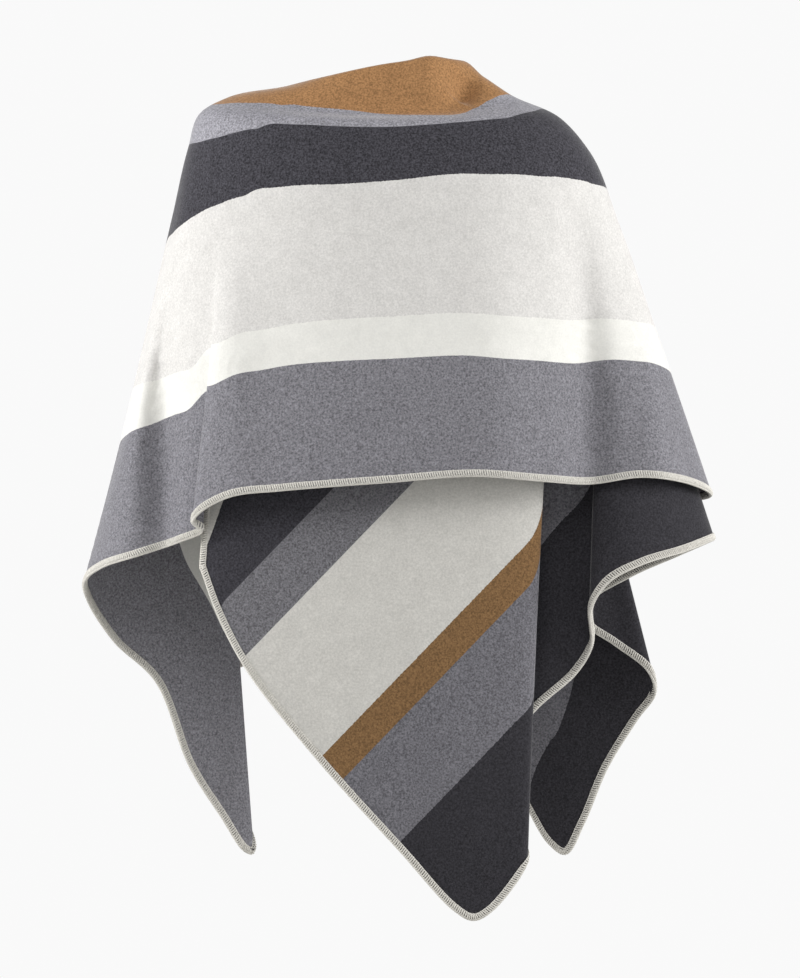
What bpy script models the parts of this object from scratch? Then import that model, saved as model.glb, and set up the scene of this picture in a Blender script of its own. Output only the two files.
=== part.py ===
"""Blanket poncho, worn: one oblong striped blanket with a slit to its middle.

The wearer's left front hangs underneath as a point, the back hangs in two
points, and the wearer's right front is thrown across the chest over the left
shoulder.  Seen from above the cloth is one spiral of about one and a half
turns, so it is drawn as a chain of ribs: each rib runs from the neck over the
shoulder form and down to one point of the lower edge.

Metres, +Z up, the front faces -Y, the wearer's left is +X.  The origin is
midway between the shoulder points, where the garment is held up.
"""
import math
from collections import namedtuple

import bpy
import numpy as np

# Driving sizes
COLLECTION_NAME = "blanket_poncho"
WALL = 0.0026               # thickness of the double woven cloth
LAYER = 0.010               # depth of the layers that lie under the thrown front
SEAM_GAP = 0.0004           # clearance between neighbouring stretches
CELL = 0.030                # wanted width of a mesh column at the lower edge
MIN_COLUMNS = 2             # columns between two ribs at least
SEAM_BAND = 0.003           # width of the narrow column along each seam
ROUNDNESS = 2.3             # power of the oval rings round neck and shoulders
FACING_DEEP = 0.022         # how far the rolled neck edge turns down inside
FACING_IN = 0.009           # how far it turns in
FACING_SHOULDER = 0.005     # drop from the neck ring to the inner bend
RIB_END = 8.0               # place of the lower edge on a rib
MESH_LEVELS = (-2.0, -1.0, -0.45, 0.0, 0.5, 1.0, 1.6, 2.2, 2.8, 3.4, 4.0, 5.0, 5.8, 6.6, 7.3, 8.0)

# Rings of the shoulder form, one row a ring: how far out and how high it lies
# at the wearer's right, front, left and back, and which way a layer lifts it
Ring = namedtuple("Ring", "right right_z front front_z left left_z back back_z lift_out lift_up")
FORM = (
    Ring(0.075, 0.029, 0.066, 0.047, 0.086, 0.046, 0.070, 0.030, 0.25, 0.95),
    Ring(0.130, 0.018, 0.077, 0.014, 0.112, 0.027, 0.081, 0.018, 0.35, 0.90),
    Ring(0.196, 0.003, 0.090, -0.0185, 0.142, 0.006, 0.092, 0.003, 0.50, 0.85),
    Ring(0.228, -0.018, 0.124, -0.033, 0.205, -0.024, 0.113, -0.036, 0.80, 0.60),
    Ring(0.241, -0.058, 0.139, -0.075, 0.238, -0.062, 0.130, -0.080, 0.95, 0.25),
    Ring(0.264, -0.155, 0.148, -0.170, 0.276, -0.155, 0.145, -0.160, 1.00, 0.05),
)

# Ribs in the order in which the cloth goes round, from the edge of the under
# front to the end of the thrown front.  turn: degrees round the neck, 0 at the
# wearer's left arm, 90 at the back.  hang: 1 falls straight to its hem point,
# less than 1 hangs plumb sooner.  x, y, z: its point on the lower edge
Rib = namedtuple("Rib", "turn hang x y z")
STRETCHES = {
    "under_front": (
        Rib(-139, 1.0, -0.225, -0.118, -0.559),
        Rib(-133, 1.0, -0.203, -0.130, -0.618),
        Rib(-124, 1.0, -0.168, -0.140, -0.683),
        Rib(-104, 1.0, -0.083, -0.150, -0.790),
        Rib(-88, 1.0, 0.012, -0.155, -0.895),
        Rib(-74, 1.0, 0.076, -0.156, -0.965),
        Rib(-70, 1.0, 0.099, -0.155, -0.977),
    ),
    "left_arm_drape": (
        Rib(-66, 1.0, 0.122, -0.152, -0.965),
        Rib(-52, 1.2, 0.161, -0.142, -0.913),
        Rib(-46, 1.1, 0.160, -0.127, -0.900),
        Rib(-41, 0.85, 0.124, -0.117, -0.868),
        Rib(-36, 0.75, 0.091, -0.110, -0.840),
        Rib(-32, 0.75, 0.090, -0.095, -0.822),
        Rib(-28, 0.75, 0.122, -0.086, -0.788),
        Rib(-25, 0.8, 0.176, -0.078, -0.727),
        Rib(-22, 0.9, 0.222, -0.075, -0.686),
        Rib(-19, 0.9, 0.240, -0.088, -0.654),
        Rib(-16, 0.9, 0.239, -0.114, -0.609),
        Rib(-13, 1.0, 0.261, -0.130, -0.576),
        Rib(-9, 1.0, 0.299, -0.124, -0.556),
        Rib(-5, 1.0, 0.349, -0.088, -0.541),
    ),
    "left_back_point": (
        Rib(0, 1.0, 0.388, -0.015, -0.527),
        Rib(12, 1.0, 0.350, 0.045, -0.545),
        Rib(22, 1.0, 0.290, 0.070, -0.572),
        Rib(30, 1.0, 0.241, 0.086, -0.603),
        Rib(34, 1.0, 0.238, 0.106, -0.630),
        Rib(40, 1.0, 0.272, 0.122, -0.655),
        Rib(47, 1.0, 0.312, 0.131, -0.686),
        Rib(52, 1.0, 0.322, 0.146, -0.714),
        Rib(56, 1.0, 0.300, 0.161, -0.747),
        Rib(61, 1.0, 0.264, 0.171, -0.806),
        Rib(65, 1.0, 0.236, 0.178, -0.873),
        Rib(68, 1.0, 0.214, 0.184, -0.911),
        Rib(71, 1.0, 0.193, 0.189, -0.898),
        Rib(76, 1.0, 0.160, 0.198, -0.842),
        Rib(81, 1.0, 0.128, 0.218, -0.797),
        Rib(86, 1.0, 0.094, 0.184, -0.760),
    ),
    "right_back_point": (
        Rib(91, 1.0, 0.060, 0.180, -0.732),
        Rib(96, 1.0, 0.030, 0.214, -0.713),
        Rib(101, 1.0, -0.004, 0.222, -0.700),
        Rib(106, 1.0, -0.038, 0.188, -0.690),
        Rib(111, 1.0, -0.074, 0.182, -0.680),
        Rib(116, 1.0, -0.106, 0.212, -0.674),
        Rib(121, 1.0, -0.148, 0.218, -0.675),
        Rib(126, 1.0, -0.204, 0.200, -0.692),
        Rib(131, 1.0, -0.238, 0.180, -0.725),
        Rib(136, 1.0, -0.216, 0.165, -0.778),
        Rib(141, 1.0, -0.187, 0.152, -0.850),
        Rib(146, 1.0, -0.167, 0.138, -0.908),
        Rib(149, 1.0, -0.178, 0.128, -0.904),
        Rib(153, 1.0, -0.204, 0.118, -0.864),
        Rib(158, 1.0, -0.243, 0.102, -0.801),
        Rib(165, 1.0, -0.282, 0.082, -0.700),
        Rib(173, 1.0, -0.334, 0.050, -0.648),
    ),
    "thrown_front": (
        Rib(180, 1.0, -0.368, 0.000, -0.584),
        Rib(191, 1.0, -0.346, -0.062, -0.561),
        Rib(203, 1.0, -0.298, -0.116, -0.545),
        Rib(215, 1.0, -0.250, -0.146, -0.529),
        Rib(222, 1.0, -0.223, -0.155, -0.517),
        Rib(225, 1.0, -0.234, -0.166, -0.507),
        Rib(229, 1.0, -0.225, -0.178, -0.494),
        Rib(235, 1.0, -0.188, -0.182, -0.475),
        Rib(246, 1.0, -0.129, -0.185, -0.468),
        Rib(268, 1.0, 0.000, -0.187, -0.458),
        Rib(285, 1.0, 0.099, -0.185, -0.451),
        Rib(301, 1.0, 0.184, -0.173, -0.457),
        Rib(311, 1.0, 0.237, -0.156, -0.460),
        Rib(325, 1.0, 0.297, -0.131, -0.452),
        Rib(342, 1.0, 0.350, -0.082, -0.458),
    ),
    "thrown_end": (
        Rib(360, 1.0, 0.385, -0.006, -0.474),
        Rib(380, 1.0, 0.350, 0.086, -0.480),
        Rib(400, 1.0, 0.272, 0.154, -0.470),
        Rib(418, 1.0, 0.170, 0.178, -0.455),
        Rib(436, 1.0, 0.070, 0.188, -0.440),
    ),
}

# Where a rib starts along its own length: on the slit edge of the under front,
# outside the neck below the thrown layer, or in the rolled neck edge
NECK_START = ((-139, 5.9), (-95, 5.1), (-55, 3.8), (-35, 2.8), (-15, 2.0), (85, 1.4), (120, -2.0), (436, -2.0))
# Depth below the outer layer round the chain
LAYER_DEPTH = ((-139, 1.0), (95, 1.0), (120, 0.6), (150, 0.1), (170, 0.0), (436, 0.0))

COLOURS = {
    "under_front": (0.30, 0.30, 0.31),
    "left_arm_drape": (0.05, 0.05, 0.06),
    "left_back_point": (0.07, 0.07, 0.08),
    "right_back_point": (0.24, 0.24, 0.26),
    "thrown_front": (0.62, 0.61, 0.59),
    "thrown_end": (0.45, 0.45, 0.45),
}
CLOTH_ROUGHNESS = 0.92


def clear_scene():
    """Start from an empty scene."""
    for item in list(bpy.data.objects):
        bpy.data.objects.remove(item, do_unlink=True)


def cubic_through(knots, rows, wanted):
    """Values at the wanted places of a smooth cubic that passes through every row."""
    knots = np.asarray(knots, float)
    rows = np.asarray(rows, float)
    steps = np.diff(knots)[:, None]
    slopes = np.diff(rows, axis=0) / steps
    tangents = np.empty_like(rows)
    tangents[1:-1] = (slopes[1:] * steps[:-1] + slopes[:-1] * steps[1:]) / (steps[1:] + steps[:-1])
    tangents[0] = slopes[0]
    tangents[-1] = slopes[-1]
    index = np.clip(np.searchsorted(knots, wanted, side="right") - 1, 0, len(knots) - 2)
    width = (knots[index + 1] - knots[index])[:, None]
    part = ((wanted - knots[index]) / (knots[index + 1] - knots[index]))[:, None]
    start = rows[index] * (1 + 2 * part) * (1 - part) ** 2
    end = rows[index + 1] * part ** 2 * (3 - 2 * part)
    leave = tangents[index] * width * part * (1 - part) ** 2
    arrive = tangents[index + 1] * width * part ** 2 * (part - 1)
    return start + end + leave + arrive


def ring_point(ring, turn, depth):
    """Point of one ring of the form at a turn, pressed in by the depth of its layer."""
    cosine = math.cos(math.radians(turn))
    sine = math.sin(math.radians(turn))
    across = math.copysign(abs(cosine) ** (2 / ROUNDNESS), cosine)
    fore = math.copysign(abs(sine) ** (2 / ROUNDNESS), sine)
    side_out = ring.left if cosine > 0 else ring.right
    face_out, face_z = (ring.front, ring.front_z) if sine < 0 else (ring.back, ring.back_z)
    side_z = ring.right_z + (ring.left_z - ring.right_z) * (1 + across) / 2
    crown = face_z - (ring.left_z + ring.right_z) / 2
    inset = depth * LAYER
    x = across * (side_out - inset * ring.lift_out)
    y = fore * (face_out - inset * ring.lift_out)
    z = side_z + crown * sine ** 2 - inset * ring.lift_up
    return np.array((x, y, z))


def rib_guides(rib):
    """Guide points of one rib: rolled neck edge, six rings of the form, and the fall to the hem."""
    depth = np.interp(rib.turn, *zip(*LAYER_DEPTH))
    rings = [ring_point(ring, rib.turn, depth) for ring in FORM]
    neck = rings[0]
    inward = -neck * (1, 1, 0) / np.linalg.norm(neck[:2]) * FACING_IN
    guides = [neck + inward - (0, 0, FACING_DEEP), neck + inward - (0, 0, FACING_SHOULDER)]
    guides += rings
    arm = rings[-1]
    hem = np.array((rib.x, rib.y, rib.z))
    for fall in (1 / 3, 2 / 3, 1):
        share = np.array((fall ** rib.hang, fall ** rib.hang, fall))
        guides.append(arm + (hem - arm) * share)
    return np.array(guides)


def rib_points(rib, levels):
    """Points down one rib at the mesh levels, squeezed below the place where it starts."""
    guides = rib_guides(rib)
    first = levels[0]
    start = np.interp(rib.turn, *zip(*NECK_START))
    places = start + (np.asarray(levels) - first) * (RIB_END - start) / (RIB_END - first)
    lengths = np.linalg.norm(np.diff(guides, axis=0), axis=1)
    knots = np.concatenate(([0], np.cumsum(lengths)))
    return cubic_through(knots, guides, np.interp(places, np.arange(first, RIB_END + 1), knots))


def cloth_chain():
    """All ribs in one row with smooth ribs between them, and where each stretch begins."""
    ribs = [rib for stretch in STRETCHES.values() for rib in stretch]
    hems = np.array([(rib.x, rib.y, rib.z) for rib in ribs])
    chords = np.linalg.norm(np.diff(hems, axis=0), axis=1)
    knots = np.concatenate(([0], np.cumsum(np.sqrt(chords))))
    seams = set(np.cumsum([len(stretch) for stretch in STRETCHES.values()]))
    places = []
    firsts = []
    for index, chord in enumerate(chords):
        firsts.append(len(places))
        count = max(MIN_COLUMNS, math.ceil(chord / CELL))
        shares = list(np.linspace(0, 1, count, endpoint=False))
        if index in seams:
            shares.insert(1, SEAM_BAND / chord)
        if index + 1 in seams:
            shares.append(1 - SEAM_BAND / chord)
        places.extend(knots[index] + (knots[index + 1] - knots[index]) * np.array(shares))
    firsts.append(len(places))
    places.append(knots[-1])
    fine = [Rib(*row) for row in cubic_through(knots, ribs, np.array(places))]
    return fine, firsts


def seam_clearance(columns, first, last):
    """Draw the end columns of a stretch back so that neighbours stay apart."""
    half = SEAM_GAP / 2
    for edge, beside in ((0, 1), (-1, -2)):
        if (edge == 0 and first) or (edge == -1 and last):
            continue
        back = columns[beside] - columns[edge]
        columns[edge] += back / np.linalg.norm(back, axis=1)[:, None] * half
    return columns


def cloth_material(name):
    """Matt brushed cloth in the stretch's main colour."""
    material = bpy.data.materials.new(name + "_cloth")
    material.use_nodes = True
    shader = material.node_tree.nodes["Principled BSDF"]
    shader.inputs["Base Color"].default_value = (*COLOURS[name], 1)
    shader.inputs["Roughness"].default_value = CLOTH_ROUGHNESS
    shader.inputs["Metallic"].default_value = 0
    return material


def add_stretch(name, columns, collection):
    """One stretch of cloth: a grid through its ribs, given the thickness of the wall."""
    ribs, levels = columns.shape[:2]
    quads = []
    for rib in range(ribs - 1):
        for level in range(levels - 1):
            corner = rib * levels + level
            quads.append((corner, corner + 1, corner + levels + 1, corner + levels))
    mesh = bpy.data.meshes.new(name)
    mesh.from_pydata(columns.reshape(-1, 3).tolist(), [], quads)
    mesh.materials.append(cloth_material(name))
    mesh.shade_smooth()
    stretch = bpy.data.objects.new(name, mesh)
    collection.objects.link(stretch)
    wall = stretch.modifiers.new("wall", "SOLIDIFY")
    wall.thickness = WALL
    wall.offset = 0
    return stretch


def build():
    """Model every stretch of the worn blanket."""
    clear_scene()
    collection = bpy.data.collections.new(COLLECTION_NAME)
    bpy.context.scene.collection.children.link(collection)
    fine, firsts = cloth_chain()
    points = np.array([rib_points(rib, MESH_LEVELS) for rib in fine])
    row = 0
    names = list(STRETCHES)
    for name in names:
        start = firsts[row]
        row += len(STRETCHES[name])
        is_last = name == names[-1]
        end = firsts[-1] if is_last else firsts[row]
        columns = seam_clearance(points[start:end + 1].copy(), name == names[0], is_last)
        add_stretch(name, columns, collection)


build()
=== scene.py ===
import math
from collections import namedtuple

import bpy
import numpy as np
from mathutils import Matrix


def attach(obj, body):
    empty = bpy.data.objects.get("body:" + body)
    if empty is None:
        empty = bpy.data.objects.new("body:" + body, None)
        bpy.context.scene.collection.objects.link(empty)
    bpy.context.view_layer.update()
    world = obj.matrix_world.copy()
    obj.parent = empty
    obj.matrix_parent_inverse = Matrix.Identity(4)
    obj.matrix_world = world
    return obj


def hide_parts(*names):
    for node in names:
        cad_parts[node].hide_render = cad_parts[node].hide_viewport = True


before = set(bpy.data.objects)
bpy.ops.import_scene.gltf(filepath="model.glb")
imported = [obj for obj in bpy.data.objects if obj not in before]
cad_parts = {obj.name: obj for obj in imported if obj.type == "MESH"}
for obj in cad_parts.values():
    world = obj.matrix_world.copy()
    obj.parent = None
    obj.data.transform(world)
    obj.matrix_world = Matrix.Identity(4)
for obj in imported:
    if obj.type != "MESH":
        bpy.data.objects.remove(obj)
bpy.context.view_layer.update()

# Viewpoint
# The garment is seen level from the front, as a wearer's friend would see it
# from across a hall: 12 m off, so that both arms keep their true width.
VIEW_FROM = (0.012, -12.0, -0.4668)
PICTURE_HEIGHT = 978        # pixels
METRES_PER_PIXEL = 0.0012   # at the shoulders
SENSOR_HEIGHT = 24.0        # millimetres
lens_data = bpy.data.cameras.new("front_view")
lens_data.sensor_fit = "VERTICAL"
lens_data.sensor_height = SENSOR_HEIGHT
lens_data.lens = SENSOR_HEIGHT * -VIEW_FROM[1] / (PICTURE_HEIGHT * METRES_PER_PIXEL)
lens_data.clip_end = 100.0
front_view = bpy.data.objects.new("front_view", lens_data)
front_view.location = VIEW_FROM
front_view.rotation_euler = (math.radians(90), 0, 0)
bpy.context.scene.collection.objects.link(front_view)
bpy.context.scene.camera = front_view
bpy.context.scene.view_settings.view_transform = "Standard"

# Blanket cloth
# One oblong of double woven wool, brushed on both faces and slit to its middle.
# Worn, it goes one and a half times round the shoulders, so it is drawn as a
# chain of ribs from the neck to the lower edge, in three shells that run on.
WALL = 0.0026               # thickness of the double cloth, in metres as every length here
LAYER = 0.010               # depth of the layers below the thrown front
ROUNDNESS = 2.3             # power of the oval rings round neck and shoulders
FACING_DEEP = 0.022         # how far the rolled neck edge turns down inside
FACING_IN = 0.012           # how far it turns in
FACING_SHOULDER = 0.001     # drop from the neck ring to the inner bend
COLUMN_WIDTH = 0.006        # mesh column at the lower edge
COLUMNS_LEAST = 5           # columns between two ribs at least
ROWS = 124                  # mesh rows from the neck to the lower edge
ROW_CROWDING = 1.2          # more than 1 crowds the rows towards the neck

Ring = namedtuple("Ring", "right right_z front front_z left left_z back back_z lift_out lift_up")
FORM = (
    Ring(0.075, 0.024, 0.066, 0.040, 0.086, 0.046, 0.070, 0.022, 0.25, 0.95),
    Ring(0.130, 0.014, 0.077, 0.014, 0.112, 0.026, 0.081, 0.008, 0.35, 0.90),
    Ring(0.196, 0.001, 0.090, -0.0185, 0.142, 0.006, 0.092, -0.004, 0.50, 0.85),
    Ring(0.228, -0.018, 0.124, -0.033, 0.205, -0.024, 0.113, -0.036, 0.80, 0.60),
    Ring(0.241, -0.058, 0.139, -0.075, 0.238, -0.062, 0.130, -0.080, 0.95, 0.25),
    Ring(0.264, -0.155, 0.148, -0.170, 0.276, -0.155, 0.145, -0.160, 1.00, 0.05),
)

# turn: degrees round the neck, 0 at the wearer's left arm, 90 at the back.
# hang: less than 1 hangs plumb sooner.  x, y, z: the rib's lower end
Rib = namedtuple("Rib", "turn hang x y z")
RIBS = (
    Rib(-139, 1.0, -0.225, -0.118, -0.559),
    Rib(-133, 1.0, -0.203, -0.130, -0.618),
    Rib(-124, 1.0, -0.168, -0.140, -0.683),
    Rib(-104, 1.0, -0.083, -0.150, -0.790),
    Rib(-88, 1.0, 0.012, -0.155, -0.895),
    Rib(-74, 1.0, 0.076, -0.156, -0.965),
    Rib(-70, 1.0, 0.099, -0.155, -0.977),
    Rib(-66, 1.0, 0.122, -0.152, -0.965),
    Rib(-52, 1.2, 0.161, -0.142, -0.913),
    Rib(-46, 1.1, 0.160, -0.127, -0.900),
    Rib(-41, 0.85, 0.124, -0.117, -0.868),
    Rib(-36, 0.75, 0.091, -0.110, -0.840),
    Rib(-32, 0.75, 0.090, -0.095, -0.822),
    Rib(-28, 0.75, 0.122, -0.086, -0.788),
    Rib(-25, 0.8, 0.176, -0.078, -0.727),
    Rib(-22, 0.9, 0.222, -0.075, -0.686),
    Rib(-19, 0.9, 0.240, -0.088, -0.654),
    Rib(-16, 0.9, 0.239, -0.114, -0.609),
    Rib(-13, 1.0, 0.261, -0.130, -0.576),
    Rib(-9, 1.0, 0.299, -0.124, -0.556),
    Rib(-5, 1.0, 0.349, -0.088, -0.541),
    Rib(0, 1.0, 0.388, -0.015, -0.527),
    Rib(12, 1.0, 0.350, 0.045, -0.545),
    Rib(22, 1.0, 0.290, 0.070, -0.572),
    Rib(30, 1.0, 0.241, 0.086, -0.603),
    Rib(34, 1.0, 0.238, 0.106, -0.630),
    Rib(40, 1.0, 0.272, 0.122, -0.655),
    Rib(47, 1.0, 0.312, 0.131, -0.686),
    Rib(52, 1.0, 0.322, 0.146, -0.714),
    Rib(56, 1.0, 0.300, 0.161, -0.747),
    Rib(61, 1.0, 0.264, 0.171, -0.806),
    Rib(65, 1.0, 0.236, 0.178, -0.873),
    Rib(68, 1.0, 0.214, 0.184, -0.911),
    Rib(71, 1.0, 0.193, 0.189, -0.898),
    Rib(76, 1.0, 0.160, 0.198, -0.842),
    Rib(81, 1.0, 0.128, 0.218, -0.797),
    Rib(86, 1.0, 0.094, 0.184, -0.760),
    Rib(91, 1.0, 0.060, 0.180, -0.732),
    Rib(96, 1.0, 0.030, 0.214, -0.713),
    Rib(101, 1.0, -0.004, 0.222, -0.700),
    Rib(106, 1.0, -0.038, 0.188, -0.690),
    Rib(111, 1.0, -0.074, 0.182, -0.680),
    Rib(116, 1.0, -0.106, 0.212, -0.674),
    Rib(121, 1.0, -0.148, 0.218, -0.675),
    Rib(126, 1.0, -0.204, 0.200, -0.692),
    Rib(131, 1.0, -0.238, 0.180, -0.725),
    Rib(136, 1.0, -0.216, 0.165, -0.778),
    Rib(141, 1.0, -0.187, 0.152, -0.850),
    Rib(146, 1.0, -0.167, 0.138, -0.908),
    Rib(149, 1.0, -0.178, 0.128, -0.904),
    Rib(153, 1.0, -0.204, 0.118, -0.864),
    Rib(158, 1.0, -0.243, 0.102, -0.801),
    Rib(165, 1.0, -0.282, 0.082, -0.700),
    Rib(173, 1.0, -0.334, 0.050, -0.648),
    Rib(180, 1.0, -0.368, 0.000, -0.584),
    Rib(191, 1.0, -0.346, -0.062, -0.561),
    Rib(203, 1.0, -0.298, -0.116, -0.545),
    Rib(215, 1.0, -0.250, -0.146, -0.529),
    Rib(222, 1.0, -0.223, -0.155, -0.517),
    Rib(225, 1.0, -0.234, -0.166, -0.507),
    Rib(229, 1.0, -0.225, -0.178, -0.494),
    Rib(235, 1.0, -0.188, -0.182, -0.475),
    Rib(246, 1.0, -0.129, -0.185, -0.468),
    Rib(268, 1.0, 0.000, -0.187, -0.458),
    Rib(285, 1.0, 0.099, -0.185, -0.451),
    Rib(301, 1.0, 0.184, -0.173, -0.457),
    Rib(311, 1.0, 0.237, -0.156, -0.460),
    Rib(325, 1.0, 0.297, -0.131, -0.452),
    Rib(342, 1.0, 0.350, -0.082, -0.458),
    Rib(360, 1.0, 0.385, -0.006, -0.474),
    Rib(380, 1.0, 0.350, 0.086, -0.480),
    Rib(400, 1.0, 0.272, 0.154, -0.470),
    Rib(418, 1.0, 0.170, 0.178, -0.455),
    Rib(436, 1.0, 0.070, 0.188, -0.440),
)
# Where a rib starts, counted in guides: 0 is the neck ring, -2 the rolled edge
NECK_START = (
    (-139, 5.9),
    (-95, 5.1),
    (-55, 3.8),
    (-35, 2.8),
    (-15, 2.0),
    (85, 1.4),
    (120, -2.0),
    (436, -2.0),
)
# Depth below the outer layer by turn, in layers
LAYER_DEPTH = ((-139, 1.0), (95, 1.0), (120, 0.6), (150, 0.1), (170, 0.0), (436, 0.0))


def smooth_curves(knots, rows, wanted):
    """Points at the wanted places of cubics that pass through every row.

    The slope at a row is that of the parabola through it and its neighbours.
    knots are (curves, rows), rows (curves, rows, values), wanted (curves, places).
    """
    steps = np.diff(knots, axis=1)[..., None]
    slopes = np.diff(rows, axis=1) / steps
    tangents = np.empty_like(rows)
    weighted = slopes[:, 1:] * steps[:, :-1] + slopes[:, :-1] * steps[:, 1:]
    tangents[:, 1:-1] = weighted / (steps[:, 1:] + steps[:, :-1])
    tangents[:, 0] = slopes[:, 0]
    tangents[:, -1] = slopes[:, -1]
    index = (knots[:, None, 1:-1] <= wanted[:, :, None]).sum(axis=2)
    near, far = index[..., None], index[..., None] + 1
    knot_near = np.take_along_axis(knots, index, axis=1)[..., None]
    width = np.take_along_axis(knots, index + 1, axis=1)[..., None] - knot_near
    part = (wanted[..., None] - knot_near) / width
    start = np.take_along_axis(rows, near, axis=1) * (1 + 2 * part) * (1 - part) ** 2
    end = np.take_along_axis(rows, far, axis=1) * part ** 2 * (3 - 2 * part)
    leave = np.take_along_axis(tangents, near, axis=1) * width * part * (1 - part) ** 2
    arrive = np.take_along_axis(tangents, far, axis=1) * width * part ** 2 * (part - 1)
    return start + end + leave + arrive


def by_turn(table, turn):
    """Straight-line reading of a two-column table at each turn."""
    places, values = np.array(table, float).T
    return np.interp(turn, places, values)


def fine_ribs():
    """Ribs about a column width apart: a cubic through the table over root-chord knots."""
    rows = np.array(RIBS, float)
    chords = np.linalg.norm(np.diff(rows[:, 2:], axis=0), axis=1)
    knots = np.concatenate(([0], np.cumsum(np.sqrt(chords))))
    counts = np.maximum(COLUMNS_LEAST, np.ceil(chords / COLUMN_WIDTH)).astype(int)
    shares = np.concatenate([np.arange(count) / count + index for index, count in enumerate(counts)])
    wanted = np.interp(np.append(shares, len(rows) - 1), np.arange(len(rows)), knots)
    return smooth_curves(knots[None], rows[None], wanted[None])[0]


def form_ring(ring, turn, depth):
    """One ring of the shoulder form: a rounded oval, its sides and heights blended round the turn.

    x and y are the cosine and sine raised to two over the roundness, pressed in
    by the layer's depth; z runs from side to side and crowns over front and back.
    """
    cosine, sine = np.cos(np.radians(turn)), np.sin(np.radians(turn))
    across = np.sign(cosine) * np.abs(cosine) ** (2 / ROUNDNESS)
    fore = np.sign(sine) * np.abs(sine) ** (2 / ROUNDNESS)
    side_out = np.where(cosine > 0, ring.left, ring.right)
    face_out = np.where(sine < 0, ring.front, ring.back)
    face_z = np.where(sine < 0, ring.front_z, ring.back_z)
    side_z = ring.right_z + (ring.left_z - ring.right_z) * (1 + across) / 2
    crown = face_z - (ring.left_z + ring.right_z) / 2
    inset = depth * LAYER
    x = across * (side_out - inset * ring.lift_out)
    y = fore * (face_out - inset * ring.lift_out)
    z = side_z + crown * sine ** 2 - inset * ring.lift_up
    return np.stack((x, y, z), axis=1)


def worn_surface(ribs):
    """Middle surface of the worn cloth on a grid of ribs by rows.

    With it come each point's fall from the hem, measured along its rib, and each
    rib's length from the neck ring to the hem.
    Each rib is a cubic through the rolled neck edge, the six rings of the form
    and thirds of the fall to its hem point, over knots of chord length.
    """
    turn, hang, hem = ribs[:, 0], ribs[:, 1], ribs[:, 2:]
    depth = by_turn(LAYER_DEPTH, turn)
    rings = [form_ring(ring, turn, depth) for ring in FORM]
    neck = rings[0]
    inward = -neck * (1, 1, 0) / np.linalg.norm(neck[:, :2], axis=1)[:, None] * FACING_IN
    guides = [neck + inward - (0, 0, FACING_DEEP), neck + inward - (0, 0, FACING_SHOULDER), *rings]
    for fall in (1 / 3, 2 / 3, 1):
        share = np.stack((fall ** hang, fall ** hang, np.full(len(hang), fall)), axis=1)
        guides.append(rings[-1] + (hem - rings[-1]) * share)
    guides = np.stack(guides, axis=1)
    lengths = np.linalg.norm(np.diff(guides, axis=1), axis=2)
    knots = np.concatenate((np.zeros((len(ribs), 1)), np.cumsum(lengths, axis=1)), axis=1)
    place = by_turn(NECK_START, turn) - NECK_START[-1][1]
    low = np.floor(place).astype(int)[:, None]
    start = np.take_along_axis(knots, low, axis=1)
    start += np.take_along_axis(lengths, low, axis=1) * (place[:, None] - low)
    down = np.linspace(0, 1, ROWS) ** ROW_CROWDING
    wanted = start + (knots[:, -1:] - start) * down
    points = smooth_curves(knots, guides, wanted)
    return points, knots[:, -1:] - wanted, knots[:, -1] - knots[:, 2]


def outward(points):
    """Unit normals of a grid surface: the cross product of its two central differences."""
    normals = np.cross(np.gradient(points, axis=1), np.gradient(points, axis=0))
    return normals / np.linalg.norm(normals, axis=2)[..., None]


ribs = fine_ribs()
turns = ribs[:, 0]
cloth, fall, rib_length = worn_surface(ribs)
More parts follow.
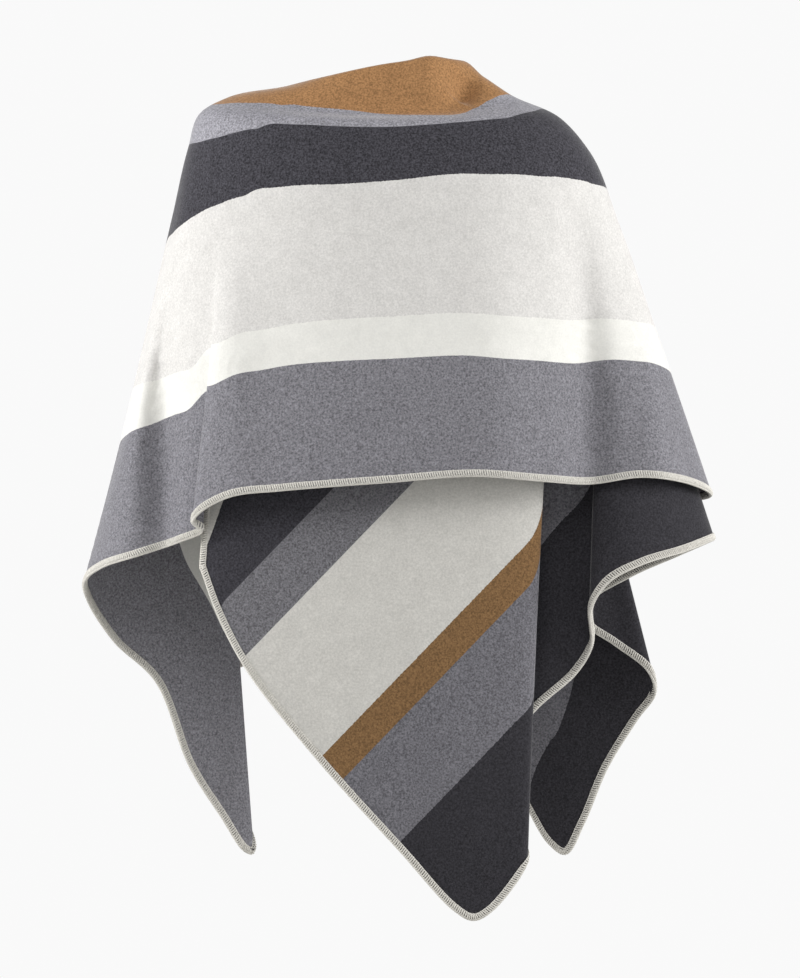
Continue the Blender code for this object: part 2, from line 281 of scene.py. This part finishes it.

# Creases and soft folds
# Brushed wool this thick folds in long soft troughs and ridges; each is laid
# along a given curve, as it shows in front or as such cloth falls behind.

# face: which way it moves the cloth.  first, last: the turns that it lies between.
# a and z at three points of its curve, a being x before and behind and y at the
# sides.  wide: half width.  deep: more than 0 is a ridge, less a trough
Crease = namedtuple("Crease", "face first last a0 z0 a1 z1 a2 z2 wide deep")
CREASES = (
    Crease("collar", 180, 360, 0.036, -0.004, 0.044, 0.024, 0.050, 0.052, 0.018, 0.009),
    Crease("collar", 180, 360, 0.078, 0.000, 0.087, 0.013, 0.096, 0.026, 0.017, -0.019),
    Crease("collar", 180, 360, 0.100, 0.040, 0.120, 0.020, 0.146, 0.004, 0.010, 0.007),
    Crease("front", 180, 360, 0.236, -0.260, 0.242, -0.420, 0.242, -0.580, 0.085, -0.024),
    Crease("front", 180, 360, 0.222, -0.140, 0.236, -0.340, 0.236, -0.560, 0.024, -0.018),
    Crease("front", 180, 360, 0.120, -0.120, 0.128, -0.300, 0.132, -0.540, 0.045, 0.008),
    Crease("front", 180, 360, 0.304, -0.160, 0.318, -0.320, 0.326, -0.540, 0.026, 0.012),
    Crease("front", 180, 360, -0.238, -0.310, -0.240, -0.450, -0.236, -0.640, 0.085, -0.028),
    Crease("front", 180, 360, -0.266, -0.220, -0.270, -0.400, -0.268, -0.620, 0.021, -0.022),
    Crease("front", 180, 360, -0.186, -0.220, -0.188, -0.370, -0.184, -0.560, 0.030, 0.008),
    Crease("front", 180, 360, -0.310, -0.220, -0.316, -0.400, -0.318, -0.640, 0.026, 0.014),
    Crease("front", 180, 360, -0.020, -0.060, -0.010, -0.290, -0.010, -0.620, 0.130, 0.012),
    Crease("front", -139, 0, -0.020, -0.520, 0.030, -0.680, 0.070, -0.860, 0.050, 0.004),
    Crease("back", 90, 180, -0.110, -0.100, -0.112, -0.350, -0.110, -0.640, 0.034, 0.007),
    Crease("back", 90, 180, -0.046, -0.140, -0.052, -0.380, -0.056, -0.660, 0.026, -0.006),
    Crease("back", 60, 120, 0.020, -0.160, 0.014, -0.400, 0.012, -0.680, 0.030, 0.006),
    Crease("back", 360, 436, 0.236, -0.060, 0.246, -0.220, 0.250, -0.460, 0.030, -0.007),
    Crease("back", 360, 436, 0.166, -0.080, 0.160, -0.260, 0.166, -0.480, 0.034, 0.006),
    Crease("right", 150, 215, -0.030, -0.120, -0.020, -0.320, -0.014, -0.560, 0.028, -0.006),
    Crease("right", 150, 215, 0.034, -0.160, 0.042, -0.360, 0.050, -0.600, 0.026, 0.005),
    Crease("left", 325, 400, 0.020, -0.120, 0.028, -0.280, 0.034, -0.440, 0.030, -0.006),
    Crease("left", 325, 400, -0.036, -0.140, -0.040, -0.300, -0.038, -0.460, 0.024, 0.004),
)
CREASE_SAMPLES = 40         # points at which each curve is measured
CREASE_END = 0.06           # share of the half wave left out at both ends of a curve
CREASE_FADE = 0.7           # less than 1 keeps a crease deep nearer to its ends
FACING_GAIN = 3             # how soon a crease reaches its full depth as the cloth turns to its face
# Which axis a stands for, and the way in which the points move
FACE_AXIS = {
    "front": (0, (0, -1, 0)),
    "collar": (0, (0, -0.7, 0.7)),
    "back": (0, (0, 1, 0)),
    "left": (1, (1, 0, 0)),
    "right": (1, (-1, 0, 0)),
}


def crease_shift(crease, points):
    """How far one crease moves every point: its depth times a bell of the distance from its curve.

    The curve is a parabola through three points of the plane that faces it; the
    bell fades out towards both ends by the sine of the way along, and where the
    ring turns away from that face.  The points all move the face's way.
    """
    axis, facing = FACE_AXIS[crease.face]
    facing = np.array(facing, float)
    way = np.linspace(0, 1, CREASE_SAMPLES)
    weights = ((1 - way) * (1 - 2 * way), 4 * way * (1 - way), way * (2 * way - 1))
    line_a = crease.a0 * weights[0] + crease.a1 * weights[1] + crease.a2 * weights[2]
    line_z = crease.z0 * weights[0] + crease.z1 * weights[1] + crease.z2 * weights[2]
    apart = np.hypot(points[..., axis, None] - line_a, points[..., 2, None] - line_z)
    nearest = apart.argmin(axis=-1)
    distance = np.take_along_axis(apart, nearest[..., None], axis=-1)[..., 0]
    fade = np.sin(np.pi * (CREASE_END + (1 - 2 * CREASE_END) * way[nearest])) ** CREASE_FADE
    on_layer = ((turns > crease.first) & (turns < crease.last))[:, None]
    angle = np.radians(turns)
    radial = np.stack((np.cos(angle), np.sin(angle), np.zeros(len(angle))), axis=1)
    faced = np.clip(radial @ facing * FACING_GAIN, 0, 1)[:, None]
    height = crease.deep * np.exp(-(distance / crease.wide) ** 2) * fade * on_layer * faced
    return height[..., None] * facing


cloth = cloth + sum(crease_shift(crease, cloth) for crease in CREASES)
cloth_normals = outward(cloth)

# Woven stripes
# The stripes run across the blanket, from the charcoal end A under the left arm
# to the mid-grey end B along the thrown front.  Each point of the cloth knows
# how far it lies from end A; the folds then carry the stripes with them.
BLANKET_WIDTH = 1.35            # from end A to end B
CORNER_A = (0.099, -0.977)      # x and z of the low front corner at end A
STRIPE_LEAN = 46.0              # degrees between the stripes of the under front and the level
EDGE_CURL = 0.032               # how much further the curled free edge of the under front lies from end A
EDGE_CURL_TURNS = (-139, -131)  # turns between which it curls
UNDER_FRONT_END = (-55, -45)    # turns between which the lean gives way to the ruled stripes
BACK_END = (142, 154)           # turns between which the ruled stripes give way to the bands
BACK_CORNERS = (68, 146)        # turns of the corners at ends A and B behind
# How the stripes spread from the hem to the middle, by turn: 1 is even, less packs them towards the neck
HEM_POWER = (
    (-60, 1.02),
    (-55, 1.00),
    (-46, 0.93),
    (-36, 0.85),
    (-22, 0.68),
    (-8, 0.69),
    (20, 0.79),
    (46, 0.86),
    (60, 1.00),
    (66, 1.30),
    (72, 1.30),
    (84, 1.00),
    (124, 1.00),
    (136, 0.88),
    (142, 0.86),
    (154, 0.86),
)
# Band edges of the thrown front, metres up from its hem, by turn
Bands = namedtuple("Bands", "turn grey cream light charcoal pale_grey")
THROWN_BANDS = (
    Bands(142, 0.249, 0.335, 0.586, 0.691, 0.748),
    Bands(150, 0.261, 0.348, 0.608, 0.718, 0.777),
    Bands(155, 0.257, 0.338, 0.572, 0.676, 0.735),
    Bands(160, 0.238, 0.312, 0.524, 0.624, 0.681),
    Bands(172, 0.196, 0.265, 0.452, 0.560, 0.612),
    Bands(185, 0.172, 0.237, 0.420, 0.538, 0.589),
    Bands(197, 0.165, 0.221, 0.407, 0.517, 0.571),
    Bands(210, 0.163, 0.215, 0.403, 0.501, 0.560),
    Bands(215, 0.162, 0.212, 0.402, 0.495, 0.555),
    Bands(220, 0.174, 0.224, 0.398, 0.489, 0.549),
    Bands(224, 0.170, 0.220, 0.394, 0.482, 0.541),
    Bands(228, 0.160, 0.211, 0.387, 0.473, 0.529),
    Bands(232, 0.154, 0.204, 0.377, 0.460, 0.514),
    Bands(238, 0.149, 0.198, 0.369, 0.451, 0.501),
    Bands(246, 0.151, 0.200, 0.366, 0.444, 0.492),
    Bands(260, 0.150, 0.200, 0.360, 0.433, 0.477),
    Bands(276, 0.147, 0.198, 0.360, 0.427, 0.456),
    Bands(284, 0.146, 0.197, 0.362, 0.429, 0.453),
    Bands(292, 0.145, 0.197, 0.365, 0.437, 0.459),
    Bands(300, 0.147, 0.199, 0.370, 0.447, 0.473),
    Bands(308, 0.148, 0.201, 0.374, 0.457, 0.492),
    Bands(316, 0.147, 0.199, 0.372, 0.464, 0.504),
    Bands(324, 0.146, 0.197, 0.368, 0.471, 0.512),
    Bands(334, 0.147, 0.198, 0.368, 0.483, 0.524),
    Bands(342, 0.150, 0.201, 0.370, 0.495, 0.533),
    Bands(352, 0.151, 0.208, 0.380, 0.510, 0.546),
    Bands(375, 0.155, 0.212, 0.385, 0.510, 0.548),
    Bands(436, 0.157, 0.213, 0.385, 0.500, 0.545),
)
# The same edges up from end B on the flat blanket, and last the place of the neck edge
WOVEN_BANDS = (0.150, 0.203, 0.365, 0.437, 0.477, 0.645)


def smooth_step(limits, turn):
    """Cubic ease from 0 at the first turn to 1 at the second."""
    share = np.clip((turn - limits[0]) / (limits[1] - limits[0]), 0, 1)
    return share * share * (3 - 2 * share)


def eased_by_turn(table):
    """Cubic reading of a table at every turn of the grid; beyond its first and last turn it stays."""
    rows = np.array(table, float)
    turn = np.clip(turns, rows[0, 0], rows[-1, 0])
    return smooth_curves(rows[None, :, 0], rows[None, :, 1:], turn[None])[0]


def stripe_place():
    """Distance of every grid point from end A.

    The under front takes the distance from its corner square to its stripes and
    curls at its free edge.  The left arm and the back are ruled: from the place
    on the hem, walked from corner to corner, to the blanket's middle at the
    neck.  The thrown front counts up through its bands.
    """
    hem_steps = np.linalg.norm(np.diff(ribs[:, 2:], axis=0), axis=1)
    hem_walk = np.concatenate(([0], np.cumsum(hem_steps)))
    first, last = np.interp(BACK_CORNERS, turns, hem_walk)
    hem = BLANKET_WIDTH * np.clip((hem_walk - first) / (last - first), 0, 1)[:, None]
    up = np.clip(fall / rib_length[:, None], 0, 1)
    ruled = hem + (BLANKET_WIDTH / 2 - hem) * (1 - (1 - up) ** eased_by_turn(HEM_POWER))
    lean = math.radians(STRIPE_LEAN)
    aside = CORNER_A[0] - cloth[..., 0]
    above = cloth[..., 2] - CORNER_A[1]
    distance = aside * math.sin(lean) + above * math.cos(lean)
    distance = distance + EDGE_CURL * (1 - smooth_step(EDGE_CURL_TURNS, turns))[:, None]
    edges = eased_by_turn(THROWN_BANDS)
    edges = np.concatenate((np.zeros((len(turns), 1)), edges, rib_length[:, None]), axis=1)
    woven = np.array((0, *WOVEN_BANDS))
    index = (edges[:, None, 1:-1] <= fall[..., None]).sum(axis=2)
    low = np.take_along_axis(edges, index, axis=1)
    high = np.take_along_axis(edges, index + 1, axis=1)
    share = np.clip((fall - low) / (high - low), 0, 1)
    banded = BLANKET_WIDTH - (woven[index] + (woven[index + 1] - woven[index]) * share)
    for limits, onward in ((UNDER_FRONT_END, ruled), (BACK_END, banded)):
        share = smooth_step(limits, turns)[:, None]
        distance = distance * (1 - share) + onward * share
    return distance


across = stripe_place()
# From end A to end B: where each stripe begins, and its colour.
# fleck: how strongly mixed fibres show in it
Stripe = namedtuple("Stripe", "begin colour fleck")
# Painted shade: the stripes from end A to the broad camel, which the under front shows in the shade of the
# thrown front, get darker charcoals, mid greys, camel and off-white than the like stripes of the thrown
# front, over their woven colours; the charcoal of end A, at the low tip, is darkest of all.
STRIPES = (
    Stripe(0.0, "#2E2D31", 0.5),                      # charcoal of end A
    Stripe(0.126, "#646368", 0.5),                    # mid grey
    Stripe(0.226, "#73583B", 0.4),                    # narrow camel
    Stripe(0.262, "#BBB9B4", 0.13),                   # off-white
    Stripe(0.407, "#666569", 0.5),                    # mid grey
    Stripe(0.471, "#36353A", 0.5),                    # charcoal
    Stripe(0.560, "#BBB9B4", 0.13),                   # off-white
    Stripe(0.700, "#96704B", 0.4),                    # broad camel
    Stripe(BLANKET_WIDTH - 0.477, "#8A898F", 0.5),    # pale grey
    Stripe(BLANKET_WIDTH - 0.437, "#3B3A3F", 0.7),    # charcoal
    Stripe(BLANKET_WIDTH - 0.365, "#C8C6C3", 0.13),   # light grey melange
    Stripe(BLANKET_WIDTH - 0.203, "#D6D5D0", 0.05),   # cream
    Stripe(BLANKET_WIDTH - 0.150, "#737277", 0.5),    # mid grey of end B
)
FLECK_SIZE = 0.0023         # length of the short fibres that fleck the cloth
CLOUD_SIZE = 0.018          # blotches where the dyed wool was blended
NAP_SIZE = 0.0014           # tufts of the brushed face
FRAY = 0.0009               # how far fibres carry a stripe's edge


def add_node(tree, kind, links=(), **settings):
    """Add a node with its settings and link outputs to its inputs."""
    node = tree.nodes.new(kind)
    for name, value in settings.items():
        setattr(node, name, value)
    for socket, value in links:
        if hasattr(value, "is_output"):
            tree.links.new(value, node.inputs[socket])
        else:
            node.inputs[socket].default_value = value
    return node


def linear(hex_colour, alpha=1.0):
    """sRGB hex to linear light: a power curve above its straight foot."""
    values = [int(hex_colour[i:i + 2], 16) / 255 for i in (1, 3, 5)]
    return (*[v / 12.92 if v <= 0.04045 else ((v + 0.055) / 1.055) ** 2.4 for v in values], alpha)


def brushed_wool():
    """Brushed melange wool double cloth, woven in stripes and raised on both faces.

    It gives the eye flat matt colour with pale and dark fibre flecks, faint
    blotches, softly frayed stripe edges and a dull bloom where it turns away.
    """
    wool = bpy.data.materials.new("brushed_melange_wool")
    wool.use_nodes = True
    tree = wool.node_tree
    shader = tree.nodes["Principled BSDF"]
    place = add_node(tree, "ShaderNodeTexCoord").outputs["Object"]
    band = add_node(tree, "ShaderNodeAttribute", attribute_name="across").outputs["Fac"]
    fibres = add_node(tree, "ShaderNodeTexNoise", (
        ("Vector", place), ("Scale", 1 / FLECK_SIZE), ("Detail", 2.0), ("Roughness", 0.65))).outputs["Fac"]
    clouds = add_node(tree, "ShaderNodeTexNoise", (
        ("Vector", place), ("Scale", 1 / CLOUD_SIZE), ("Detail", 3.0), ("Roughness", 0.6))).outputs["Fac"]
    tufts = add_node(tree, "ShaderNodeTexNoise", (
        ("Vector", place), ("Scale", 1 / NAP_SIZE), ("Detail", 3.0), ("Roughness", 0.7))).outputs["Fac"]
    fray = add_node(tree, "ShaderNodeMath", ((0, fibres), (1, 0.5)), operation="SUBTRACT").outputs[0]
    frayed = add_node(tree, "ShaderNodeMath", (
        (0, fray), (1, 2 * FRAY), (2, band)), operation="MULTIPLY_ADD").outputs[0]
    share = add_node(tree, "ShaderNodeMath", (
        (0, frayed), (1, 1 / BLANKET_WIDTH)), operation="MULTIPLY").outputs[0]
    ramp = add_node(tree, "ShaderNodeValToRGB", (("Fac", share),))
    stops = ramp.color_ramp
    stops.interpolation = "CONSTANT"
    for number, stripe in enumerate(STRIPES):
        begin = stripe.begin / BLANKET_WIDTH
        stop = stops.elements[number] if number < 2 else stops.elements.new(begin)
        stop.position = begin
        stop.color = linear(stripe.colour, stripe.fleck)
    flecks = add_node(tree, "ShaderNodeMapRange", (
        ("Value", fibres), ("From Min", 0.3), ("From Max", 0.7),
        ("To Min", -0.95), ("To Max", 1.1))).outputs[0]
    fleck = add_node(tree, "ShaderNodeMath", (
        (0, flecks), (1, ramp.outputs["Alpha"]), (2, 1.0)), operation="MULTIPLY_ADD").outputs[0]
    blotches = add_node(tree, "ShaderNodeMapRange", (
        ("Value", clouds), ("From Min", 0.3), ("From Max", 0.7),
        ("To Min", 0.96), ("To Max", 1.04))).outputs[0]
    shade = add_node(tree, "ShaderNodeMath", ((0, fleck), (1, blotches)), operation="MULTIPLY").outputs[0]
    mottled = add_node(tree, "ShaderNodeVectorMath", (
        (0, ramp.outputs["Color"]), (1, shade)), operation="MULTIPLY").outputs[0]
    nap = add_node(tree, "ShaderNodeBump", (
        ("Height", tufts), ("Strength", 0.5), ("Distance", 0.0006))).outputs["Normal"]
    tree.links.new(mottled, shader.inputs["Base Color"])
    tree.links.new(nap, shader.inputs["Normal"])
    shader.inputs["Roughness"].default_value = 0.95
    shader.inputs["Specular IOR Level"].default_value = 0.15
    shader.inputs["Sheen Weight"].default_value = 0.3
    shader.inputs["Sheen Roughness"].default_value = 0.3
    return wool


# Cloth shells
# The double cloth is 2.6 mm thick.  It is drawn as three closed shells that
# share their end ribs and their normals, so that the cloth runs on between them.
TURN_SLACK = 1e-6           # lets a stretch take in the ribs at both its ends


def stretch(first, last):
    """The ribs between two turns, both ends included, as a slice of the grid."""
    return slice(np.searchsorted(turns, first - TURN_SLACK), np.searchsorted(turns, last + TURN_SLACK))


def smooth_piece(name, points, faces, material):
    """A piece from points and faces, shaded smooth."""
    mesh = bpy.data.meshes.new(name)
    mesh.from_pydata(points, [], faces)
    mesh.materials.append(material)
    mesh.shade_smooth()
    piece = bpy.data.objects.new(name, mesh)
    bpy.context.scene.collection.objects.link(piece)
    return piece


def cloth_shell(name, first, last, material):
    """A closed shell of the cloth between two turns: both faces half a wall off the middle, and a rim.

    Its normals are those of the whole chain, so that neighbouring shells shade as one.
    """
    cut = stretch(first, last)
    middle, normals = cloth[cut], cloth_normals[cut]
    count, rows = middle.shape[:2]
    sheet = count * rows
    number = np.arange(sheet).reshape(count, rows)
    corners = (number[:-1, :-1], number[:-1, 1:], number[1:, 1:], number[1:, :-1])
    outer = np.stack(corners, axis=-1).reshape(-1, 4)
    inner = outer[:, ::-1] + sheet
    border = np.concatenate((number[0], number[1:, -1], number[-1, -2::-1], number[-2:0:-1, 0]))
    onward = np.roll(border, -1)
    rim = np.stack((border, border + sheet, onward + sheet, onward), axis=-1)
    faces = np.concatenate((outer, inner, rim))
    half = normals * WALL / 2
    points = np.concatenate((middle + half, middle - half)).reshape(-1, 3)
    shell = smooth_piece(name, points, faces.tolist(), material)
    mesh = shell.data
    flat_normals = normals.reshape(-1, 3)
    edge = points[rim]
    rim_normals = np.cross(edge[:, 2] - edge[:, 0], edge[:, 3] - edge[:, 1])
    rim_normals /= np.linalg.norm(rim_normals, axis=1)[:, None]
    custom = np.concatenate((
        flat_normals[outer].reshape(-1, 3),
        -flat_normals[inner - sheet].reshape(-1, 3),
        np.repeat(rim_normals, 4, axis=0),
    ))
    mesh.normals_split_custom_set(custom)
    values = mesh.attributes.new("across", "FLOAT", "POINT")
    values.data.foreach_set("value", np.tile(across[cut].ravel(), 2).astype(np.float32))
    return shell


def surface_area(first, last):
    """Area of the middle surface between two turns, cell by cell from its diagonals."""
    middle = cloth[stretch(first, last)]
    one = middle[1:, 1:] - middle[:-1, :-1]
    two = middle[1:, :-1] - middle[:-1, 1:]
    return float(np.linalg.norm(np.cross(one, two), axis=2).sum() / 2)


wool = brushed_wool()
SHELLS = {
    "under_front_cloth": (-139, 0, ("under_front", "left_arm_drape")),
    "back_cloth": (0, 180, ("left_back_point", "right_back_point")),
    "thrown_cloth": (180, 436, ("thrown_front", "thrown_end")),
}
for name, (first, last, nodes) in SHELLS.items():
    shell = cloth_shell(name, first, last, wool)
    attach(shell, "root")
    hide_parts(*nodes)

# Overlocked edge
# Every raw edge of the blanket is bound by a machine: pale yarn goes over the
# edge in narrow slanted stitches on both faces and chains along the very edge.
STITCH_PITCH = 0.0028       # from one stitch to the next
STITCH_BAND = 0.0068        # how far a stitch reaches in from the edge
STITCH_SLANT = 0.0022       # half the way that a stitch moves along the edge
YARN_RADIUS = 0.00115       # soft bulked yarn, drawn as thick as it spreads
YARN_SIDES = 6
CHAIN_RADIUS = 0.0017       # yarns looped along the very edge
CHAIN_SIDES = 8
NEEDLE_RADIUS = 0.0006      # thread that holds the stitches down along their inner ends
NEEDLE_PLACE = 0.97         # share of the band at which it runs
NEEDLE_LIFT = 0.0004        # how far its middle lies off the cloth
STITCH_JITTER = 0.03        # how unevenly the stitches reach and stand, as a share
RING_TILT = (0.3, 0.1, 0.2)  # keeps the first way of a thread's rings off the thread's own
FUZZ_SIZE = 0.0012          # tufts of fuzz on the yarn
# Way of a stitch over the edge: in from the edge in bands, height in half walls
STITCH_WAY = (
    (1.0, 0.9),
    (0.72, 1.45),
    (0.36, 1.5),
    (0.08, 1.35),
    (-0.11, 0.0),
    (0.08, -1.35),
    (0.36, -1.5),
    (0.72, -1.45),
    (1.0, -0.9),
)


def tubes(paths, radius, sides):
    """Tubes along many paths at once, as points, walls and point numbers: circles square to each path."""
    along = np.gradient(paths, axis=1)
    along /= np.linalg.norm(along, axis=2)[..., None]
    aside = np.cross(along, np.roll(along, 1, axis=2) + RING_TILT)
    aside /= np.linalg.norm(aside, axis=2)[..., None]
    above = np.cross(along, aside)
    angle = np.linspace(0, 2 * np.pi, sides, endpoint=False)
    ring = aside[:, :, None] * np.cos(angle)[:, None] + above[:, :, None] * np.sin(angle)[:, None]
    points = paths[:, :, None] + ring * radius
    count, rings = paths.shape[:2]
    number = np.arange(count * rings * sides).reshape(count, rings, sides)
    turned = np.roll(number, -1, axis=2)
    walls = np.stack((number[:, :-1], turned[:, :-1], turned[:, 1:], number[:, 1:]), axis=-1).reshape(-1, 4)
    return points.reshape(-1, 3), walls, number


def edge_frames(edge, beside, normals):
    """Even places along an edge: position, direction, way into the cloth and normal.

    The way in is the cross product of normal and direction, on beside's side.
    """
    steps = np.linalg.norm(np.diff(edge, axis=0), axis=1)
    walk = np.concatenate(([0], np.cumsum(steps)))
    count = max(2, round(walk[-1] / STITCH_PITCH))
    wanted = np.linspace(0, walk[-1], count + 1)
    at = np.stack([np.interp(wanted, walk, column) for column in edge.T], axis=1)
    inner = np.stack([np.interp(wanted, walk, column) for column in beside.T], axis=1)
    normal = np.stack([np.interp(wanted, walk, column) for column in normals.T], axis=1)
    along = np.gradient(at, axis=0)
    along /= np.linalg.norm(along, axis=1)[:, None]
    normal -= along * (normal * along).sum(axis=1)[:, None]
    normal /= np.linalg.norm(normal, axis=1)[:, None]
    into = np.cross(normal, along)
    into *= np.sign(((inner - at) * into).sum(axis=1))[:, None]
    return at, along, into, normal


def stitches(edge, beside, normals, draw):
    """Stitch yarns over one edge, as the stitch way swept in each frame, slanting along the edge."""
    at, along, into, normal = edge_frames(edge, beside, normals)
    way = np.array(STITCH_WAY)
    reach = STITCH_BAND * (1 + STITCH_JITTER * draw.standard_normal(len(at)))[:, None, None]
    shift = STITCH_PITCH * STITCH_JITTER * draw.standard_normal(len(at))[:, None, None]
    slant = np.linspace(0, 1, len(way))[None, :, None] * 2 * STITCH_SLANT
    paths = at[:, None] + into[:, None] * way[None, :, :1] * reach
    paths = paths + normal[:, None] * way[None, :, 1:] * WALL / 2
    paths = paths + along[:, None] * (shift + slant)
    return paths


def edge_binding(name, edges, material, seed):
    """All stitches of one shell, the edge chain and the needle threads of both faces, joined in one mesh."""
    draw = np.random.default_rng(seed)
    points, faces, total = [], [], 0
    for edge, beside, normals in edges:
        at, _, into, normal = edge_frames(edge, beside, normals)
        needle = at + into * STITCH_BAND * NEEDLE_PLACE
        lift = normal * (WALL / 2 + NEEDLE_LIFT)
        threads = (
            (stitches(edge, beside, normals, draw), YARN_RADIUS, YARN_SIDES),
            (at[None], CHAIN_RADIUS, CHAIN_SIDES),
            ((needle + lift)[None], NEEDLE_RADIUS, CHAIN_SIDES),
            ((needle - lift)[None], NEEDLE_RADIUS, CHAIN_SIDES),
        )
        for paths, radius, sides in threads:
            thread, walls, number = tubes(paths, radius, sides)
            points.append(thread)
            faces.extend((walls + total).tolist())
            faces.extend((number[:, 0, ::-1] + total).tolist())
            faces.extend((number[:, -1] + total).tolist())
            total += len(thread)
    return smooth_piece(name, np.concatenate(points), faces, material)


def spun_yarn():
    """Spun polyester overlock yarn, bleached and matt.

    It gives the eye a pale dull thread whose fine fuzz breaks its highlights.
    """
    yarn = bpy.data.materials.new("spun_overlock_yarn")
    yarn.use_nodes = True
    tree = yarn.node_tree
    shader = tree.nodes["Principled BSDF"]
    place = add_node(tree, "ShaderNodeTexCoord").outputs["Object"]
    fuzz = add_node(tree, "ShaderNodeTexNoise", (
        ("Vector", place), ("Scale", 1 / FUZZ_SIZE), ("Detail", 2.0)))
    tone = add_node(tree, "ShaderNodeValToRGB", (("Fac", fuzz.outputs["Fac"]),))
    tone.color_ramp.elements[0].position = 0.3
    tone.color_ramp.elements[0].color = linear("#B2AFA8")
    tone.color_ramp.elements[1].position = 0.7
    tone.color_ramp.elements[1].color = linear("#D9D6CF")
    tree.links.new(tone.outputs["Color"], shader.inputs["Base Color"])
    shader.inputs["Roughness"].default_value = 0.8
    shader.inputs["Specular IOR Level"].default_value = 0.3
    return yarn


def grid_edges(first, last, sides):
    """Edge, neighbouring line and normals of the wanted sides of the cloth between two turns."""
    cut = stretch(first, last)
    grid, normals = cloth[cut], cloth_normals[cut]
    lines = {
        "hem": (grid[:, -1], grid[:, -3], normals[:, -1]),
        "neck": (grid[:, 0], grid[:, 3], normals[:, 0]),
        "start": (grid[0], grid[2], normals[0]),
        "end": (grid[-1], grid[-3], normals[-1]),
    }
    return [lines[side] for side in sides]


yarn = spun_yarn()
BINDINGS = {
    "under_front_cloth": ("under_front_edge", ("hem", "neck", "start"), 11),
    "back_cloth": ("back_edge", ("hem", "neck"), 12),
    "thrown_cloth": ("thrown_edge", ("hem", "neck", "end"), 13),
}
# Each shell's edges are bound; the area of its middle surface is worked out but not used
for name, (binding_name, sides, seed) in BINDINGS.items():
    first, last = SHELLS[name][:2]
    binding = edge_binding(binding_name, grid_edges(first, last, sides), yarn, seed)
    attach(binding, "root")
    surface_area(first, last)

# Studio
# A plain pale floor at a wearer's foot level, and plain soft light: a bright
# even room, with a large diffuser at each side and one high in front.
FLOOR_LEVEL = -1.45
FLOOR_RADIUS = 6.0
FLOOR_SIDES = 96
angle = np.linspace(0, 2 * np.pi, FLOOR_SIDES, endpoint=False)
floor_x = np.cos(angle) * FLOOR_RADIUS
floor_y = np.sin(angle) * FLOOR_RADIUS
floor_points = np.stack((floor_x, floor_y, np.full(FLOOR_SIDES, FLOOR_LEVEL)), axis=1)
floor_mesh = bpy.data.meshes.new("floor")
floor_mesh.from_pydata(floor_points, [], [list(range(FLOOR_SIDES))])
# Pale matt paint, which gives the eye an even ground without shine
floor_paint = bpy.data.materials.new("pale_matt_floor_paint")
floor_paint.use_nodes = True
floor_shader = floor_paint.node_tree.nodes["Principled BSDF"]
floor_shader.inputs["Base Color"].default_value = linear("#D2D2D0")
floor_shader.inputs["Roughness"].default_value = 0.9
floor_mesh.materials.append(floor_paint)
floor = bpy.data.objects.new("floor", floor_mesh)
bpy.context.scene.collection.objects.link(floor)

# An even room, which gives the eye a white surround and soft light from all sides
ROOM_GLOW = ((0.42, 0.32), (0.465, 0.95), (0.535, 0.95), (0.58, 0.42))    # share of the way up, brightness
room = bpy.data.worlds.new("even_room")
room.use_nodes = True
room_tree = room.node_tree
way_up = add_node(room_tree, "ShaderNodeTexCoord").outputs["Generated"]
height = add_node(room_tree, "ShaderNodeSeparateXYZ", (("Vector", way_up),)).outputs["Z"]
height_share = add_node(room_tree, "ShaderNodeMapRange", (
    ("Value", height), ("From Min", -1.0), ("From Max", 1.0))).outputs[0]
room_walls = add_node(room_tree, "ShaderNodeValToRGB", (("Fac", height_share),))
glow_stops = room_walls.color_ramp.elements
for number, (share, glow) in enumerate(ROOM_GLOW):
    stop = glow_stops[number] if number < 2 else glow_stops.new(share)
    stop.position = share
    stop.color = (glow, glow, glow, 1)
room_tree.links.new(room_walls.outputs["Color"], room_tree.nodes["Background"].inputs["Color"])
bpy.context.scene.world = room


def diffuser(name, place, aim, size, watts):
    """A square area light at a place, turned to its aim."""
    data = bpy.data.lights.new(name, "AREA")
    data.shape = "SQUARE"
    data.size = size
    data.energy = watts
    lamp = bpy.data.objects.new(name, data)
    lamp.location = place
    toward = np.array(aim) - np.array(place)
    flat = math.hypot(toward[0], toward[1])
    tilt = math.atan2(flat, -toward[2])
    heading = math.atan2(toward[0], -toward[1]) + math.pi
    lamp.rotation_euler = (tilt, 0, heading)
    bpy.context.scene.collection.objects.link(lamp)


diffuser("left_diffuser", (-3.0, -0.4, 0.3), (0, 0, -0.4), 1.6, 88)
diffuser("right_diffuser", (3.0, -0.4, 0.3), (0, 0, -0.4), 1.6, 85)
diffuser("high_diffuser", (-0.2, -3.2, 1.9), (0, 0, -0.3), 1.8, 52)
